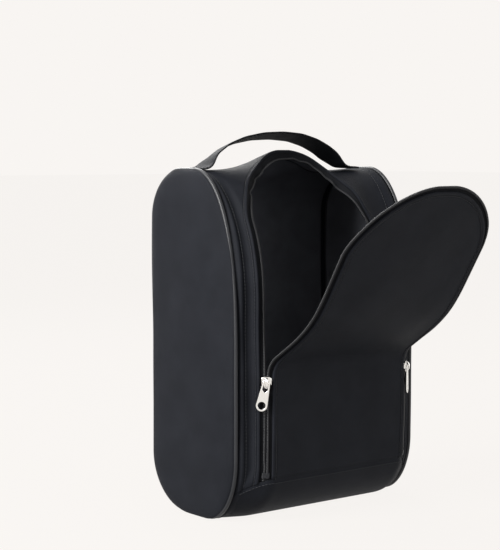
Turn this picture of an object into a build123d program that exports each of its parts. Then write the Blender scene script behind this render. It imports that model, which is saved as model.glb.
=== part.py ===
"""Soft shoe bag with a wide zip-round front flap, standing on its base with the flap part open.

Millimetres, +Z up, +X to the bag's right hand seen from the front, front face towards -Y.
The origin is on the flat base, midway between the two side seams.
"""
from build123d import *
import math
import os

# overall size
height = 340.0                 # base to the top panel
seam_x = 115.0                 # middle of each side piping
depth_front = 66.0             # front of the side seam, measured forward from the origin
depth_back = 66.0              # back panel
bulge = 22.0                   # the front panel stands this far in front of the side seam
flat_half = 86.0               # half the width of the front panel's flat middle
wall = 1.8                     # outer fabric, foam and lining together
tape = 0.8                     # zip tape and binding fabric
gusset_dome = 6.0              # outward crown of each side panel
gusset_steps = ((0.0, 0.0), (0.6, 10.0), (1.0, 26.0))   # share of the crown, distance from the edge
wide = 400.0                   # farther than the bag reaches on any side

# rounded corners of the side profile as (half axis along Y, half axis along Z)
front_top = (64.0, 135.0)
back_top = (50.0, 47.0)
back_bottom = (60.0, 55.0)
front_bottom = (46.0, 62.0)
front_bottom_middle = (60.0, 56.0)

# piping cord in the side seams
piping_width = 4.0
piping_proud = 2.0
piping_depth = 1.0             # inwards past the panels' inner face
binding_width = 6.0

# seams
base_seam_z = 45.0             # front and back panels meet the base pan
back_seam_y = 16.0             # top panel meets the back panel

# zip: the middle line runs up one side, over an arch and down the other side
zip_from_edge = 7.0            # from the flat middle's edge, along the sloping margin
zip_top = (-7.0, 340.0)        # highest point of the middle line, as (y, z)
arch_corner_x = 84.0
arch_corner_v = 74.0
panel_gap = 6.0                # fabric edge to the middle line
tape_gap = 0.9
tape_reach = 12.0
coil_inner = 0.9
coil_outer = 3.0
coil_inset = 0.4
zip_clear = 2.0                # the zip starts this far above the base seam
forward_depth = 30.0           # cuts the flap's layers off behind its front face
arch_low = -120.0              # lower end of the arch outline, under the bag
arch_run = 600.0               # length of the arch's cutting prism

# flap: a base strip, a lower flap and an upper flap that is set back at one line and bends at two
lower_hinge_z = 58.0
fold_z = 148.0
fold_half_gap = 1.5
strip_height = 4.0
set_at = 81.0                  # distance from the fold to the lasting set in the panel
set_angle = 15.4
curl_at = (140.0, 188.0)       # distance of each bend line from the fold
curl_gap = 0.8
flap_length = 226.0            # fold to the zip's middle line at the top
flap_corner_s = 77.0
flap_low = -20.0               # lower end of the drawn outline, under the first piece
flap_slack = 1.4               # the upper flap's zip edge stays this much clear of the body's
open_angle = 46.4              # how far the upper flap leans forward at the fold
slider_free = (106.0, 166.0)   # stretch of flap tape left out behind the sliders and pull tabs

# zip slider and pull tab
slider_z = 139.0
slider_length = 12.0
slider_width = 10.0
front_plate = (0.0, 1.6)       # distances outwards from the zip's middle line
front_plate_corner = 3.2
back_plate = (-3.5, -2.4)
back_plate_corner = 3.0
back_plate_trim = 1.0          # the back plate is this much smaller than the front plate
flange_size = (1.2, 6.6, 1.2)
flange_at = (4.3, -0.5)        # across and outwards
post_size = (1.0, 3.0, 2.6)
post_at = (3.4, -1.2)          # up and outwards
crown_leg_size = (2.4, 1.2, 3.0)
crown_leg_at = (3.9, 3.0)      # up and outwards
crown_size = (2.4, 9.0, 1.0)
crown_out = 4.0
pull_length = 28.0
pull_top_width = 8.5
pull_foot_width = 11.5
pull_thickness = 1.4
pull_hole_radius = 3.8
pull_eye_up = -1.5             # heights are measured up from the pin
pull_eye_radius = 2.2
pull_shoulder_up = -4.5
pull_shoulder_radius = 1.6
pull_window_size = (5.0, 8.2)
pull_window_up = -3.4
pull_window_corner = 1.2
pull_frame_length = 9.6
pull_frame_up = -3.0
pull_frame_corner = 2.0
pull_cut = 4.0                 # depth of the cuts through the tab
pull_end_up = 0.55             # the tab is cut off level with the pin
pin_radius = 0.7
pin_length = 6.4
pin_gap = 0.3                  # front plate to pin
pull_tilt = {"left": 12.0, "right": 3.0}   # lower end swung outwards
stop_size = (7.4, 2.6, 0.5)
stop_up = 4.0                  # above the base seam

# webbing handle
webbing_width = 25.0
webbing_thickness = 2.0
handle_left = -98.0
handle_right = 78.0
handle_foot_z = 348.3
handle_top_z = 378.0
anchor_reach = (1.0, 9.0)      # outwards from the handle's foot
anchor_heights = (-10.0, 4.0)  # from the top of the bag

root2 = math.sqrt(2.0)
slope_run = seam_x - piping_width / 2 - flat_half
slope = math.hypot(slope_run, bulge)
along_x = slope_run / slope
along_y = bulge / slope
front_y = -(depth_front + bulge)
zip_x = flat_half + zip_from_edge * along_x
zip_y = front_y + zip_from_edge * along_y


def rounded_profile(x, front, corners, inset):
    """Side profile on the plane at x: a rectangle with four quarter-ellipse corners."""
    y0 = inset - front
    y1 = depth_back - inset
    z0 = inset
    z1 = height - inset
    (fta, ftb), (bta, btb), (bba, bbb), (fba, fbb) = [(a - inset, b - inset) for a, b in corners]
    edges = [
        Line((y0, z0 + fbb), (y0, z1 - ftb)),
        EllipticalCenterArc((y0 + fta, z1 - ftb), fta, ftb, 90, arc_size=90),
        Line((y0 + fta, z1), (y1 - bta, z1)),
        EllipticalCenterArc((y1 - bta, z1 - btb), bta, btb, 0, arc_size=90),
        Line((y1, z1 - btb), (y1, z0 + bbb)),
        EllipticalCenterArc((y1 - bba, z0 + bbb), bba, bbb, 270, arc_size=90),
        Line((y1 - bba, z0), (y0 + fba, z0)),
        EllipticalCenterArc((y0 + fba, z0 + fbb), fba, fbb, 180, arc_size=90),
    ]
    plane = Plane(origin=(x, 0, 0), x_dir=(0, 1, 0), z_dir=(1, 0, 0))
    return plane * make_face(edges)


side_corners = (front_top, back_top, back_bottom, front_bottom)
middle_corners = ((front_top[0] + bulge, front_top[1]), back_top, back_bottom, front_bottom_middle)


def body_solid(inset):
    """The bag's filled body between the side pipings, shrunk by inset all round the profile."""
    edge_x = seam_x - piping_width / 2
    sections = [
        rounded_profile(-edge_x, depth_front, side_corners, inset),
        rounded_profile(-flat_half, depth_front + bulge, middle_corners, inset),
        rounded_profile(flat_half, depth_front + bulge, middle_corners, inset),
        rounded_profile(edge_x, depth_front, side_corners, inset),
    ]
    solid = loft(sections[:2], ruled=True)
    for first, second in zip(sections[1:], sections[2:]):
        solid += loft([first, second], ruled=True)
    return solid


def block(x0, x1, y0, y1, z0, z1):
    """A box between two corners."""
    return Pos((x0 + x1) / 2, (y0 + y1) / 2, (z0 + z1) / 2) * Box(x1 - x0, y1 - y0, z1 - z0)


def arch_prism(offset, depth):
    """Everything inside the zip's middle line moved outwards by offset, for a layer at this depth.

    The outline lies on a plane that leans back 45 degrees, so that one cut serves the upright
    front and the level top: v runs up that plane and equals (y + z) / root 2.
    """
    half = zip_x + offset * along_x - depth * along_y
    top = (zip_top[0] + zip_top[1]) / root2 + (offset - depth) / root2
    corner_x = arch_corner_x + offset * along_x
    corner_v = arch_corner_v + offset / root2
    edges = [
        Line((-half, arch_low), (half, arch_low)),
        Line((half, arch_low), (half, top - corner_v)),
        EllipticalCenterArc((half - corner_x, top - corner_v), corner_x, corner_v, 0, arc_size=90),
        Line((half - corner_x, top), (corner_x - half, top)),
        EllipticalCenterArc((corner_x - half, top - corner_v), corner_x, corner_v, 90, arc_size=90),
        Line((-half, top - corner_v), (-half, arch_low)),
    ]
    plane = Plane(origin=(0, 0, 0), x_dir=(1, 0, 0), z_dir=(0, -1 / root2, 1 / root2))
    return extrude(plane * make_face(edges), amount=arch_run)


def solids_of(shape):
    """A compound of the separate solids of a shape."""
    return Compound(children=list(shape.solids()))


print("body layers")
outer = body_solid(0)
panel_inner = body_solid(wall)
tape_inner = body_solid(wall + tape)
coil_face = body_solid(coil_inset)
panel_layer = outer - panel_inner
tape_layer = panel_inner - tape_inner
coil_layer = coil_face - panel_inner
panel_depth = wall * along_x / 2
tape_depth = (wall + tape / 2) * along_x
coil_depth = (coil_inset + wall) / 2 * along_x

front_region = block(-wide, wide, -wide, back_seam_y, base_seam_z, wide)
parts = {}

print("panels")
parts["front_surround"] = (panel_layer & front_region) - arch_prism(panel_gap, panel_depth)
parts["back_panel"] = panel_layer & block(-wide, wide, back_seam_y, wide, base_seam_z, wide)
parts["base_pan"] = panel_layer & block(-wide, wide, -wide, wide, -wide, base_seam_z)

flap_region = (panel_layer & front_region) & arch_prism(-panel_gap, panel_depth)
forward = block(-wide, wide, -wide, front_y + forward_depth, -wide, wide)
flap_region = flap_region & forward
parts["flap_base_strip"] = flap_region & block(
    -wide, wide, -wide, wide, base_seam_z, lower_hinge_z - fold_half_gap)
parts["flap_panel_lower"] = flap_region & block(
    -wide, wide, -wide, wide, lower_hinge_z + fold_half_gap, fold_z - strip_height / 2 - fold_half_gap)
parts["flap_fold_strip"] = flap_region & block(
    -wide, wide, -wide, wide, fold_z - strip_height / 2, fold_z + strip_height / 2)

print("zip")
zip_region = block(-wide, wide, -wide, back_seam_y, base_seam_z + zip_clear, wide)


def ring(layer, inner, outer_offset, depth):
    """The part of a layer between two offsets of the zip's middle line."""
    return (layer & zip_region & arch_prism(outer_offset, depth)) - arch_prism(inner, depth)


parts["zip_tape_body"] = ring(tape_layer, tape_gap, tape_reach, tape_depth)
parts["zip_coil_body"] = ring(coil_layer, coil_inner, coil_outer, coil_depth)
flap_tape = ring(tape_layer & forward, -tape_reach, -tape_gap, tape_depth)
flap_coil = ring(coil_layer & forward, -coil_outer, -coil_inner, coil_depth)
base_stretch = block(-wide, wide, -wide, wide, base_seam_z, lower_hinge_z - fold_half_gap)
lower_stretch = block(-wide, wide, -wide, wide, lower_hinge_z + fold_half_gap, slider_free[0])
parts["zip_tape_flap_base"] = flap_tape & base_stretch
parts["zip_tape_flap_lower"] = flap_tape & lower_stretch
parts["zip_coil_flap_base"] = flap_coil & base_stretch
parts["zip_coil_flap_lower"] = flap_coil & lower_stretch

print("upper flap")


def flap_outline(offset, s0, s1):
    """The flat upper flap between two distances from the fold, as a face in X and height."""
    half = zip_x + offset * along_x
    top = flap_length + offset
    corner_x = arch_corner_x + offset * along_x
    corner_s = flap_corner_s + offset
    edges = [
        Line((-half, flap_low), (half, flap_low)),
        Line((half, flap_low), (half, top - corner_s)),
        EllipticalCenterArc((half - corner_x, top - corner_s), corner_x, corner_s, 0, arc_size=90),
        Line((half - corner_x, top), (corner_x - half, top)),
        EllipticalCenterArc((corner_x - half, top - corner_s), corner_x, corner_s, 90, arc_size=90),
        Line((-half, top - corner_s), (-half, flap_low)),
    ]
    band = Pos(0, (s0 + s1) / 2) * Rectangle(2 * wide, s1 - s0)
    return make_face(edges) & band


def turned(shape, y, z, angle):
    """A shape turned about the line along X through y and z."""
    return Pos(0, y, z) * Rot(angle, 0, 0) * Pos(0, -y, -z) * shape


def flap_piece(inner, outer_offset, inset0, inset1, s0, s1):
    """A layer of the upper flap between two distances from the fold, at its place when open.

    The layer is drawn flat and upright, set back above the set line and leaned forward at the fold.
    Its edges are the zip's middle line moved by outer_offset and, for a ring, by inner.
    """
    plane = Plane(origin=(0, front_y + inset1, fold_z), x_dir=(1, 0, 0), z_dir=(0, -1, 0))
    whole = None
    for low, high, angle in ((s0, min(s1, set_at), 0.0), (max(s0, set_at), s1, -set_angle)):
        if high <= low:
            continue
        face = flap_outline(outer_offset, low, high)
        if inner is not None:
            face -= flap_outline(inner, low, high)
        slab = turned(extrude(plane * face, amount=inset1 - inset0), front_y, fold_z + set_at, angle)
        whole = slab if whole is None else whole + slab
    return turned(whole, front_y + wall / 2, fold_z, open_angle)


bounds = [strip_height / 2 + fold_half_gap, *curl_at, flap_length]
for index, (s0, s1) in enumerate(zip(bounds, bounds[1:]), start=1):
    low = s0 if index == 1 else s0 + curl_gap
    high = s1 if index == len(curl_at) + 1 else s1 - curl_gap
    tape_low = max(low, slider_free[1] - fold_z)
    near = -tape_gap - flap_slack
    panel = flap_piece(None, -panel_gap, 0, wall, low, high)
    coil = flap_piece(-coil_outer - flap_slack, near, coil_inset, wall, tape_low, high)
    tape_band = flap_piece(-tape_reach, near, wall, wall + tape, tape_low, high)
    parts[f"flap_panel_{index}"] = panel
    parts[f"zip_coil_flap_{index}"] = coil
    parts[f"zip_tape_flap_{index}"] = tape_band - panel - coil

print("side panels, piping and bindings")


def mirrored(shape):
    """The same shape on the other side of the bag."""
    return mirror(shape, about=Plane.YZ)


def gusset():
    """A side panel: a shallow fabric dome with an open back, against the piping."""
    x0 = seam_x + piping_width / 2
    skins = []
    for thickness in (0.0, wall):
        faces = []
        for rise, inset in gusset_steps:
            x = x0 + gusset_dome * rise - (thickness if rise else 0.0)
            faces.append(rounded_profile(x, depth_front, side_corners, inset + thickness))
        skin = loft(faces[:2], ruled=True) + loft(faces[1:], ruled=True)
        skins.append(skin)
    return skins[0] - skins[1]


def seam_ring(x0, x1, outset, inset):
    """A band that follows the side profile between two insets."""
    outer_ring = extrude(rounded_profile(x0, depth_front, side_corners, -outset), amount=x1 - x0)
    inner_ring = extrude(rounded_profile(x0 - 1, depth_front, side_corners, inset), amount=x1 - x0 + 2)
    return outer_ring - inner_ring


above_ground = block(-wide, wide, -wide, wide, 0, wide)
piping = seam_ring(seam_x - piping_width / 2, seam_x + piping_width / 2, piping_proud,
                  wall + piping_depth)
piping = piping & above_ground
binding_x = seam_x - piping_width / 2
binding = tape_layer & block(binding_x - binding_width, binding_x, -wide, wide, -wide, wide)
parts["side_panel_right"] = gusset()
parts["side_panel_left"] = mirrored(parts["side_panel_right"])
parts["piping_right"] = piping
parts["piping_left"] = mirrored(piping)
parts["seam_binding_right"] = binding
parts["seam_binding_left"] = mirrored(binding)

print("sliders and pull tabs")
zip_frame = Plane(
    origin=(zip_x, zip_y, slider_z), x_dir=(along_x, along_y, 0), z_dir=(along_y, -along_x, 0))


def capsule_box(width, length, low, high, corner):
    """A plate in the slider's own frame: width across the zip, length along it, low to high outwards."""
    plate = extrude(RectangleRounded(width, length, corner), amount=high - low)
    return Pos(0, 0, low) * plate


def slider():
    """Zip slider: front and back plates, a post between the coils, side flanges and a crown."""
    back_width = slider_width - back_plate_trim
    back_length = slider_length - back_plate_trim
    body = capsule_box(slider_width, slider_length, *front_plate, front_plate_corner)
    body += capsule_box(back_width, back_length, *back_plate, back_plate_corner)
    for side in (-1, 1):
        body += Pos(side * flange_at[0], 0, flange_at[1]) * Box(*flange_size)
    body += Pos(0, *post_at) * Box(*post_size)
    for side in (-1, 1):
        body += Pos(0, side * crown_leg_at[0], crown_leg_at[1]) * Box(*crown_leg_size)
    body += Pos(0, 0, crown_out) * Box(*crown_size)
    return body


pin_out = front_plate[1] + pin_gap + pin_radius


def pull(tilt):
    """Pull tab hanging from a pin under the crown, turned by tilt about the outward axis."""
    foot = -pull_length + pull_foot_width / 2
    shoulder_x = pull_top_width / 2 - pull_shoulder_radius
    outline = make_hull([
        *(Pos(0, pull_eye_up) * Circle(pull_eye_radius)).edges(),
        *(Pos(-shoulder_x, pull_shoulder_up) * Circle(pull_shoulder_radius)).edges(),
        *(Pos(shoulder_x, pull_shoulder_up) * Circle(pull_shoulder_radius)).edges(),
        *(Pos(0, foot) * Circle(pull_foot_width / 2)).edges(),
    ])
    window = Pos(0, pull_window_up) * RectangleRounded(*pull_window_size, pull_window_corner)
    hole = Pos(0, foot) * Circle(pull_hole_radius)
    tab = extrude(outline - window - hole, amount=pull_thickness / 2, both=True)
    frame_top = RectangleRounded(pull_top_width, pull_frame_length, pull_frame_corner)
    frame_top = Pos(0, pull_frame_up) * frame_top - window
    tab += extrude(frame_top, amount=pull_thickness / 2, both=True)
    straight = pull_window_size[1] - 2 * pull_window_corner
    tab -= Pos(0, pull_window_up, 0) * Box(pull_window_size[0], straight, pull_cut)
    pin = Rot(0, 90, 0) * Cylinder(pin_radius, pin_length)
    clear = Pos(0, pull_end_up + pull_cut / 2, 0) * Box(2 * pull_top_width, pull_cut, pull_cut)
    return Pos(0, 0, pin_out) * Rot(0, 0, tilt) * ((tab - clear) + pin)


right_slider = zip_frame * slider()
parts["slider_right"] = right_slider
parts["slider_left"] = mirrored(right_slider)
parts["pull_tab_right"] = zip_frame * pull(pull_tilt["right"])
parts["pull_tab_left"] = mirrored(zip_frame * pull(pull_tilt["left"]))

stop_origin = (zip_x, zip_y, base_seam_z + stop_up)
stop_frame = Plane(origin=stop_origin, x_dir=zip_frame.x_dir, z_dir=zip_frame.z_dir)
stop = stop_frame * Box(*stop_size)
parts["zip_stops"] = Compound(children=[stop, mirrored(stop)])

print("handle")
arch_middle = (handle_left + handle_right) / 2
arch_reach = (handle_right - handle_left) / 2
arch_rise = handle_top_z - handle_foot_z
outer_half = EllipticalCenterArc((arch_middle, handle_foot_z), arch_reach, arch_rise, 0, arc_size=180)
inner_half = EllipticalCenterArc(
    (arch_middle, handle_foot_z), arch_reach - webbing_thickness, arch_rise - webbing_thickness, 0,
    arc_size=180)
feet = [
    Line(outer_half @ 0, inner_half @ 0),
    Line(outer_half @ 1, inner_half @ 1),
]
strap_plane = Plane(origin=(0, 0, 0), x_dir=(1, 0, 0), z_dir=(0, -1, 0))
strap_face = strap_plane * make_face([outer_half, inner_half, *feet])
parts["handle_strap"] = extrude(strap_face, amount=webbing_width / 2, both=True)

for name, foot_x in (("left", handle_left), ("right", handle_right)):
    side = math.copysign(1, foot_x)
    inner_x = foot_x + side * anchor_reach[0]
    outer_x = foot_x + side * anchor_reach[1]
    pad = block(min(inner_x, outer_x), max(inner_x, outer_x), -webbing_width / 2, webbing_width / 2,
                height + anchor_heights[0], height + anchor_heights[1])
    parts[f"handle_anchor_{name}"] = pad - outer

os.makedirs("parts", exist_ok=True)
for old in os.listdir("parts"):
    os.remove(os.path.join("parts", old))
for name, shape in parts.items():
    whole = solids_of(shape)
    print(name, len(whole.solids()), round(sum(s.volume for s in whole.solids()), 1))
    export_step(whole, os.path.join("parts", name + ".step"))
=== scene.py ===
import math
import bpy
import bmesh
import numpy as np
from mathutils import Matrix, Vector


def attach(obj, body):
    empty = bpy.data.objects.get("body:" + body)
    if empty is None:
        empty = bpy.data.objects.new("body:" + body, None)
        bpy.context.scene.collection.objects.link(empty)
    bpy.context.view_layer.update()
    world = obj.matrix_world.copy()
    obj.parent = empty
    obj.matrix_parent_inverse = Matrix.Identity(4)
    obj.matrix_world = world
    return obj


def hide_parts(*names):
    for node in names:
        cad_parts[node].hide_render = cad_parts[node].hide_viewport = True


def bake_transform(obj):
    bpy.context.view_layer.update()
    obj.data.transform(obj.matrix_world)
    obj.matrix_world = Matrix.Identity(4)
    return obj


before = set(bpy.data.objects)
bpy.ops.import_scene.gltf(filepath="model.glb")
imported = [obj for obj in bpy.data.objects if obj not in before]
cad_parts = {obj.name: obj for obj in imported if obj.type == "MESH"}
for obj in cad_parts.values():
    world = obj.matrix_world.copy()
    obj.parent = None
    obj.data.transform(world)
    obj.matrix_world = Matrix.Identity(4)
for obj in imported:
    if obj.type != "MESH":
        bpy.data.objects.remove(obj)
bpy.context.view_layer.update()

# Sizes are in millimetres and become metres where a mesh is made.
mm = 0.001


# A socket inside one material. Arithmetic on it adds Math nodes; make() adds any other node.
class Wire:
    def __init__(self, tree, socket):
        self.tree = tree
        self.socket = socket

    def make(self, kind, settings=None, inputs=None, output=0):
        node = self.tree.nodes.new(kind)
        for key, value in (settings or {}).items():
            setattr(node, key, value)
        for key, value in (inputs or {}).items():
            if isinstance(value, Wire):
                self.tree.links.new(value.socket, node.inputs[key])
            else:
                node.inputs[key].default_value = value
        return Wire(self.tree, node.outputs[output])

    def maths(self, operation, *values):
        return self.make("ShaderNodeMath", {"operation": operation}, dict(enumerate(values)))

    def __add__(self, other):
        return self.maths("ADD", self, other)

    def __radd__(self, other):
        return self.maths("ADD", other, self)

    def __sub__(self, other):
        return self.maths("SUBTRACT", self, other)

    def __mul__(self, other):
        return self.maths("MULTIPLY", self, other)

    def __rmul__(self, other):
        return self.maths("MULTIPLY", other, self)

    def sine(self):
        return self.maths("SINE", self)


def newMaterial(name, roughness, metallic, specular):
    material = bpy.data.materials.new(name)
    material.use_nodes = True
    shader = material.node_tree.nodes["Principled BSDF"]
    shader.inputs["Roughness"].default_value = roughness
    shader.inputs["Metallic"].default_value = metallic
    shader.inputs["Specular IOR Level"].default_value = specular
    return material, shader


def noise(wire, vector, scale, detail=2.0, roughness=0.5):
    return wire.make("ShaderNodeTexNoise", {}, {
        "Vector": vector, "Scale": scale, "Detail": detail, "Roughness": roughness})


yarn = {
    "row": 0.7, "break": 0.3, "break pitch": 0.8, "dye from": 0.35, "contrast": 2.2, "tint": 0.12,
    "fuzz scale": 900.0, "fuzz": 0.8}


# Cloth: a weave in the sheet's own coordinates, uneven dye and soft puckers.
def cloth(name, look):
    material, shader = newMaterial(name, look["roughness"], 0.0, look["specular"])
    tree = material.node_tree
    wire = Wire(tree, None)
    uv = wire.make("ShaderNodeUVMap", {"uv_map": "cloth"})
    u = wire.make("ShaderNodeSeparateXYZ", {}, {0: uv})
    v = Wire(tree, u.socket.node.outputs[1])
    place = wire.make("ShaderNodeTexCoord", output="Object")
    wave = 2 * math.pi / look["pitch"]
    if look["weave"] == "plain":
        height = (u * wave).sine() * (v * wave).sine()
    else:
        # rows of yarn: a ridge across the strip, broken up along it
        broken = (v * wave * yarn["break pitch"]).sine()
        height = (u * wave).sine() * (yarn["row"] + yarn["break"] * broken)
    mottle = noise(wire, place, look["mottle scale"], 3.0, 0.6)
    tint = wire.make("ShaderNodeMix", {"data_type": "RGBA"}, {
        0: (mottle - yarn["dye from"]) * yarn["contrast"] + height * yarn["tint"],
        6: (*look["dark"], 1), 7: (*look["light"], 1)}, 2)
    tree.links.new(tint.socket, shader.inputs["Base Color"])
    pucker = noise(wire, place, look["pucker scale"], 2.0, 0.5)
    fuzz = noise(wire, place, yarn["fuzz scale"], 1.0, 0.5)
    relief = height * look["weave height"] + fuzz * look["weave height"] * yarn["fuzz"] \
        + pucker * look["pucker height"]
    bump = wire.make("ShaderNodeBump", {}, {"Height": relief, "Strength": 1.0, "Distance": mm})
    tree.links.new(bump.socket, shader.inputs["Normal"])
    return material


roughnessSpread = 0.12


# Metal, plastic or thread of one color, with a fine grain in its height and roughness.
def shiny(name, color, roughness, metallic, specular, scale, height):
    material, shader = newMaterial(name, roughness, metallic, specular)
    tree = material.node_tree
    shader.inputs["Base Color"].default_value = (*color, 1)
    wire = Wire(tree, None)
    place = wire.make("ShaderNodeTexCoord", output="Object")
    grain = noise(wire, place, scale, 2.0, 0.5)
    bump = wire.make("ShaderNodeBump", {}, {"Height": grain * height, "Strength": 1.0, "Distance": mm})
    tree.links.new(bump.socket, shader.inputs["Normal"])
    varied = grain * roughnessSpread + (roughness - roughnessSpread / 2)
    tree.links.new(varied.socket, shader.inputs["Roughness"])
    return material


fabricLook = {
    "light": (0.0062, 0.0071, 0.0100), "dark": (0.0038, 0.0045, 0.0067), "roughness": 0.62, "specular": 0.085,
    "weave": "plain", "pitch": 0.85, "mottle scale": 32.0, "pucker scale": 26.0,
    "weave height": 0.07, "pucker height": 1.3}
print("materials")
outerFabric = cloth("outer_fabric", fabricLook)
# The lining covers the inside faces of all cloth. Its grey, ten times lighter than the outer cloth, is
# painted light that stands in for light reaching into the bag.
painted_light_lining = cloth("painted_light_lining", {
    **fabricLook, "light": (0.0660, 0.0690, 0.0800), "dark": (0.0500, 0.0523, 0.0610), "roughness": 0.85,
    "specular": 0.1})
tapeCloth = cloth("zip_tape", {
    **fabricLook, "light": (0.0045, 0.0049, 0.0062), "dark": (0.0026, 0.0029, 0.0038), "roughness": 0.8,
    "weave": "rows", "pitch": 1.1, "weave height": 0.12, "pucker height": 0.3})
bindingCloth = cloth("binding_tape", {**fabricLook, "weave": "rows", "pitch": 1.3, "roughness": 0.8})
webbing = cloth("webbing", {
    **fabricLook, "light": (0.0062, 0.0068, 0.0085), "dark": (0.0030, 0.0034, 0.0044), "weave": "rows",
    "pitch": 1.5, "weave height": 0.22, "pucker height": 0.3, "mottle scale": 90.0})
pipingCloth = cloth("piping", {
    **fabricLook, "light": (0.0120, 0.0130, 0.0156), "dark": (0.0070, 0.0077, 0.0096), "roughness": 0.42,
    "specular": 0.32, "weave height": 0.03, "pucker height": 0.25})
coilPlastic = shiny("zip_coil", (0.007, 0.0073, 0.0085), 0.45, 0.0, 0.22, 300.0, 0.05)
thread = shiny("thread", (0.010, 0.0108, 0.013), 0.5, 0.0, 0.25, 800.0, 0.05)
nickel = shiny("nickel", (0.83, 0.82, 0.79), 0.24, 1.0, 0.5, 60.0, 0.02)


# Faces of a rows x columns grid of points, numbered from start.
def gridFaces(rows, cols, start, loopRows, loopCols, flip):
    index = np.arange(rows * cols).reshape(rows, cols)
    if loopRows:
        index = np.vstack([index, index[:1]])
    if loopCols:
        index = np.hstack([index, index[:, :1]])
    faces = np.stack([index[:-1, :-1], index[:-1, 1:], index[1:, 1:], index[1:, :-1]], -1).reshape(-1, 4)
    if flip:
        faces = faces[:, ::-1]
    return (faces + start).tolist()


# One part of a mesh. points is rows x cols x 3 and uv is rows x cols x 2.
def sheetPart(points, uv=None, loopRows=False, loopCols=False, caps=False, toward=None, flip=False, slot=0):
    rows, cols = points.shape[:2]
    if uv is None:
        across = np.linalg.norm(np.diff(points, axis=1), axis=2).mean(0)
        along = np.linalg.norm(np.diff(points, axis=0), axis=2).mean(1)
        uv = np.zeros((rows, cols, 2))
        uv[:, :, 0] = np.concatenate([[0], np.cumsum(across)])
        uv[:, :, 1] = np.concatenate([[0], np.cumsum(along)])[:, None]
    if toward is not None:
        # toward gives the outward direction at every point; the faces are turned to agree with it
        normal = np.cross(np.gradient(points, axis=1), np.gradient(points, axis=0))
        flip = float((normal * toward).sum()) < 0
    return {
        "points": points, "uv": uv, "loopRows": loopRows, "loopCols": loopCols, "caps": caps, "flip": flip,
        "slot": slot}


# Cloth of a thickness: the outside, the lining inside it and rims along the named edges. The lining's light
# grey is painted light on the inside faces.
def clothParts(points, normals, uv, thickness, rims):
    inner = points - normals * thickness
    parts = [sheetPart(points, uv, toward=normals), sheetPart(inner, uv, toward=-normals, slot=1)]
    edges = {
        "first": (points[0], inner[0], points[0] - points[1], uv[0]),
        "last": (points[-1], inner[-1], points[-1] - points[-2], uv[-1]),
        "left": (points[:, 0], inner[:, 0], points[:, 0] - points[:, 1], uv[:, 0]),
        "right": (points[:, -1], inner[:, -1], points[:, -1] - points[:, -2], uv[:, -1])}
    for rim in rims:
        outside, inside, away, place = edges[rim]
        strip = np.stack([place, place + thickness])
        parts.append(sheetPart(np.stack([outside, inside]), strip, toward=away))
    return parts


def meshPiece(name, parts, materials):
    vertices, uvs, faces, slots = [], [], [], []
    start = 0
    for part in parts:
        rows, cols = part["points"].shape[:2]
        vertices.append(part["points"].reshape(-1, 3))
        uvs.append(part["uv"].reshape(-1, 2))
        faces += gridFaces(rows, cols, start, part["loopRows"], part["loopCols"], part["flip"])
        if part["caps"]:
            faces += endFaces(rows, cols, start, part["flip"])
        slots += [part["slot"]] * (len(faces) - len(slots))
        start += rows * cols
    vertices = np.concatenate(vertices)
    uvs = np.concatenate(uvs)
    mesh = bpy.data.meshes.new(name)
    mesh.from_pydata((vertices * mm).tolist(), [], faces)
    layer = mesh.uv_layers.new(name="cloth")
    corners = np.zeros(len(mesh.loops), np.int32)
    mesh.loops.foreach_get("vertex_index", corners)
    layer.data.foreach_set("uv", uvs[corners].astype(np.float32).ravel())
    mesh.shade_smooth()
    mesh.update()
    for material in materials:
        mesh.materials.append(material)
    mesh.polygons.foreach_set("material_index", np.array(slots, np.int32))
    piece = bpy.data.objects.new(name, mesh)
    bpy.context.collection.objects.link(piece)
    return piece


# The faces that close both ends of a tube of rows x cols points numbered from start.
def endFaces(rows, cols, start, flip):
    first = list(range(start, start + cols))
    last = list(range(start + (rows - 1) * cols, start + rows * cols))
    return [first, last[::-1]] if flip else [first[::-1], last]


def unit(vectors):
    return vectors / np.maximum(np.linalg.norm(vectors, axis=-1, keepdims=True), 1e-9)


# Distance along a path, from its first point.
def pathLengths(path):
    return np.concatenate([[0], np.cumsum(np.linalg.norm(np.diff(path, axis=0), axis=1))])


# A closed section carried along a path: section is (across, up) in mm, scale widens it point by point.
def carried(path, normals, section, scale=1.0, loop=False, caps=True):
    if loop:
        along = unit(np.roll(path, -1, 0) - np.roll(path, 1, 0))
    else:
        along = unit(np.gradient(path, axis=0))
    side = unit(np.cross(along, normals))
    up = unit(np.cross(side, along))
    scale = np.broadcast_to(scale, len(path))[:, None, None]
    ring = side[:, None] * section[None, :, :1] + up[:, None] * section[None, :, 1:]
    points = path[:, None] + scale * ring
    uv = np.stack(np.meshgrid(pathLengths(section), pathLengths(path)), -1)
    centre = points.mean(1, keepdims=True)
    return sheetPart(points, uv, loopRows=loop, loopCols=True, caps=caps and not loop, toward=points - centre)


def ringSection(across, up, sides):
    angle = np.arange(sides) * 2 * math.pi / sides
    return np.stack([across * np.cos(angle), up * np.sin(angle)], -1)


# A rectangle with rounded corners as a closed section: the cosine and sine to a small power.
def stripSection(width, thickness, sides=28, power=0.25):
    circle = ringSection(1, 1, sides)
    return np.sign(circle) * np.abs(circle) ** power * np.array([width / 2, thickness / 2])


# A path sampled again at even steps, with its normals and the distance of each sample.
def evenSteps(path, normals, step):
    lengths = pathLengths(path)
    count = max(2, int(round(lengths[-1] / step)))
    at = np.linspace(0, lengths[-1], count + 1)
    newPath = np.stack([np.interp(at, lengths, path[:, k]) for k in range(3)], -1)
    newNormals = unit(np.stack([np.interp(at, lengths, normals[:, k]) for k in range(3)], -1))
    return newPath, newNormals, at


stitchSizes = {
    "pitch": 3.4, "length": 2.5, "radius": 0.32, "lift": 0.12, "rows": (-0.5, -0.36, 0.36, 0.5),
    "girths": (0.35, 1.0, 1.0, 0.35)}


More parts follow.
